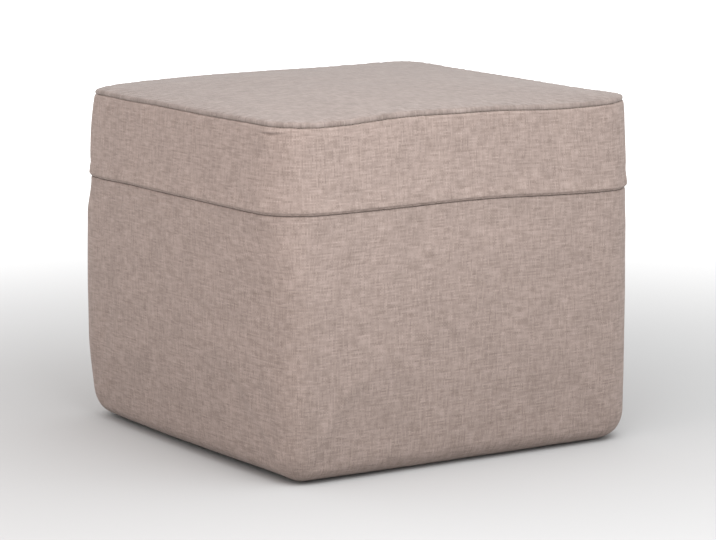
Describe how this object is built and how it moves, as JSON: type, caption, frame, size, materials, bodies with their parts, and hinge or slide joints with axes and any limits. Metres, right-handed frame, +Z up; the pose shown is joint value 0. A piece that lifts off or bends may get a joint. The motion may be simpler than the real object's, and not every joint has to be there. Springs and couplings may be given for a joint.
{
  "type": "cube pouf stool",
  "caption": "Soft cube pouf stool in taupe cloth: welted seam under a boxed, crowned seat panel, bottom edge turned under a flat base.",
  "frame": {"origin": "centre of the underside, on the floor", "axes": "+Z up; the front is the -Y face, and the four sides look along -Y, +X, +Y and -X"},
  "size_m": [0.4561, 0.4551, 0.378],
  "materials": {
    "side_cloth": "heathered plain weave, matt",
    "seat_cloth": "heathered plain weave, matt",
    "welt_cloth": "plain weave cut on the bias over cord, matt",
    "base_cloth": "plain weave, matt"
  },
  "bodies": {
    "root": {"base_panel": "base_cloth", "body": "side_cloth", "boxing": "side_cloth", "top_panel": "seat_cloth", "welt": "welt_cloth"}
  },
  "joints": []
}
